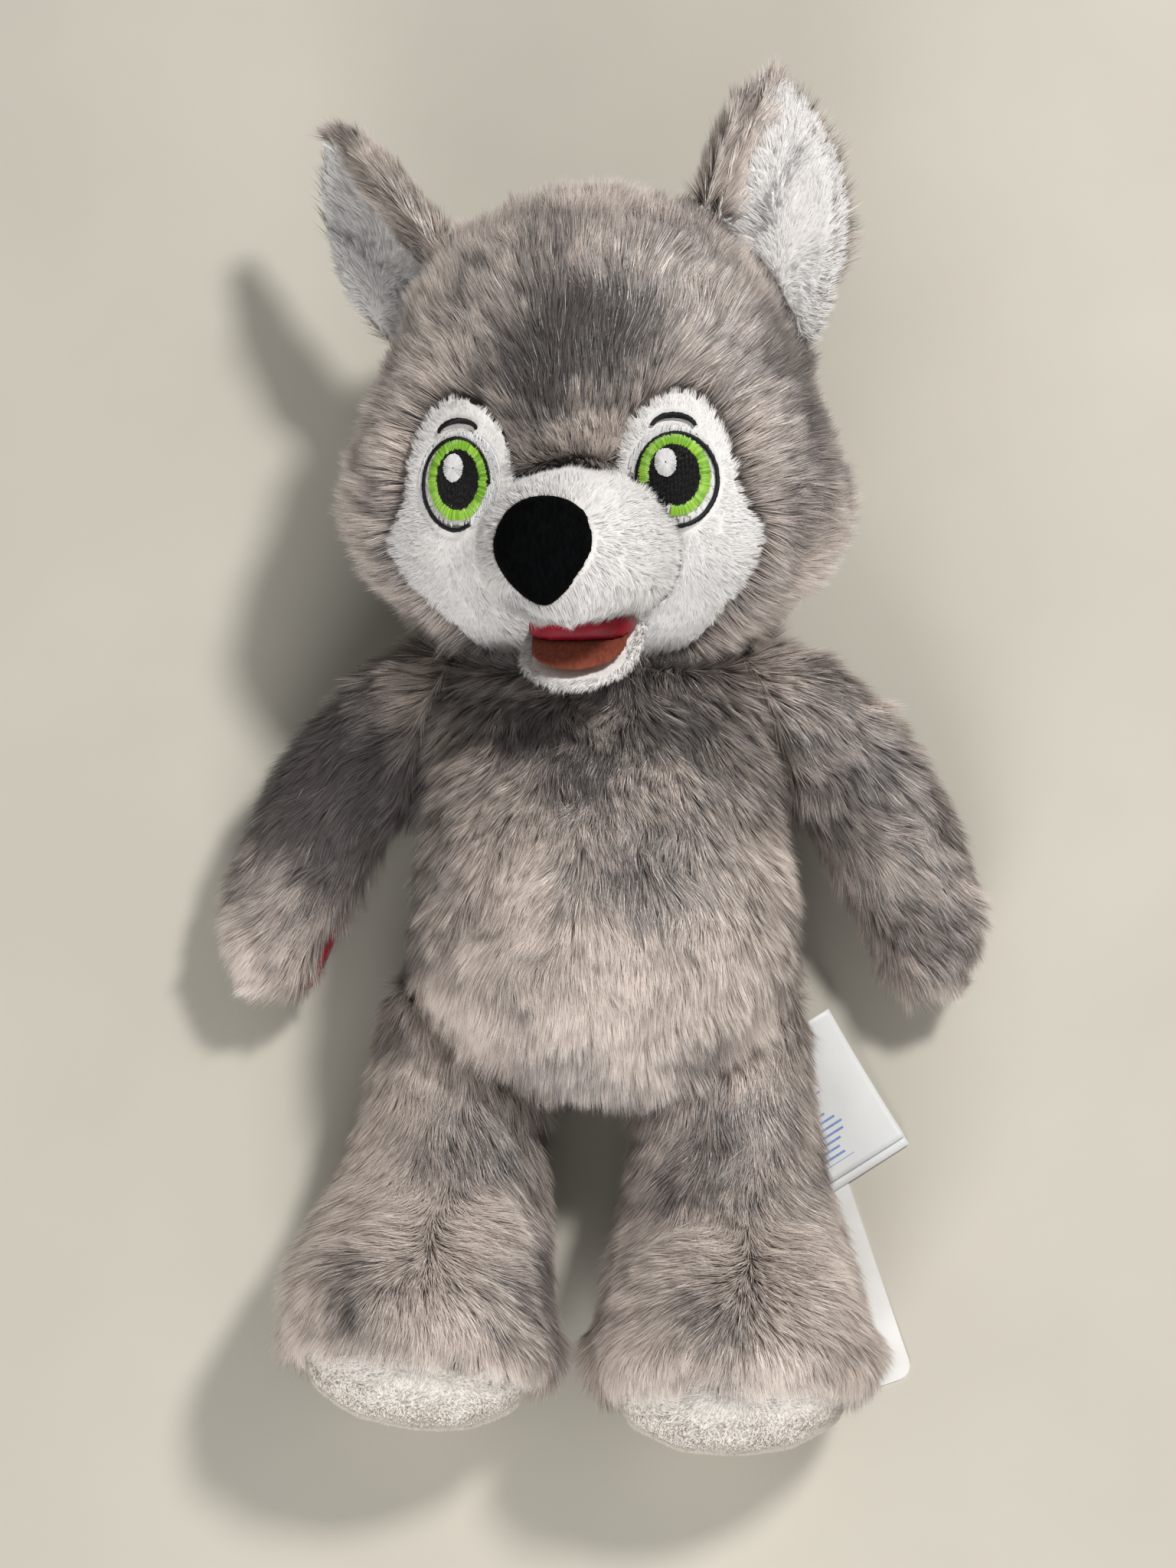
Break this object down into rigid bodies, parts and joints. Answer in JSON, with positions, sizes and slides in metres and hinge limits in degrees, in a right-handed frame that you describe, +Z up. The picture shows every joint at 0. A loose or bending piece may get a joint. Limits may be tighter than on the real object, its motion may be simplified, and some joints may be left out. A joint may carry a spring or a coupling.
{
  "type": "plush wolf",
  "caption": "Stuffed plush wolf toy with long grey pile, white face and ear linings, embroidered eyes, felt nose, open mouth and velour soles, lying on its back.",
  "frame": {"origin": "point of the toy's flat back on the surface that it lies on", "axes": "+Z up and out of the toy's front, +Y towards the top of its head, -Y towards its feet"},
  "size_m": [0.258, 0.4438, 0.1688],
  "materials": {
    "long_grey": "long shaggy pile, brushed, satin sheen",
    "short_white": "short dense plush",
    "sole_velour": "velour",
    "nose_felt": "matte felt",
    "mouth_satin": "satin",
    "tongue_felt": "matte felt",
    "thread_white": "satin stitch embroidery",
    "thread_black": "satin stitch embroidery",
    "thread_green": "satin stitch embroidery",
    "red_felt": "felt",
    "label_satin": "satin ribbon",
    "card": "smooth white card"
  },
  "bodies": {
    "root": {"head": "long_grey", "torso": "long_grey", "tail": "long_grey", "arm_left": "long_grey", "arm_right": "long_grey", "leg_left": "long_grey", "leg_right": "long_grey", "ear_left": "long_grey", "ear_right": "long_grey", "ear_lining_left": "short_white", "ear_lining_right": "short_white", "face_patch_left": "short_white", "face_patch_right": "short_white", "muzzle": "short_white", "lower_jaw": "short_white", "nose": "nose_felt", "mouth_lining": "mouth_satin", "tongue": "tongue_felt", "eye_white_left": "thread_white", "eye_white_right": "thread_white", "eye_outline_left": "thread_black", "eye_outline_right": "thread_black", "iris_left": "thread_green", "iris_right": "thread_green", "pupil_left": "thread_black", "pupil_right": "thread_black", "glint_left": "thread_white", "glint_right": "thread_white", "brow_left": "thread_black", "brow_right": "thread_black", "sole_left": "sole_velour", "sole_right": "sole_velour", "paw_pad": "red_felt", "care_label_back": "label_satin", "care_label_front": "label_satin", "card_tag": "card"}
  },
  "joints": []
}
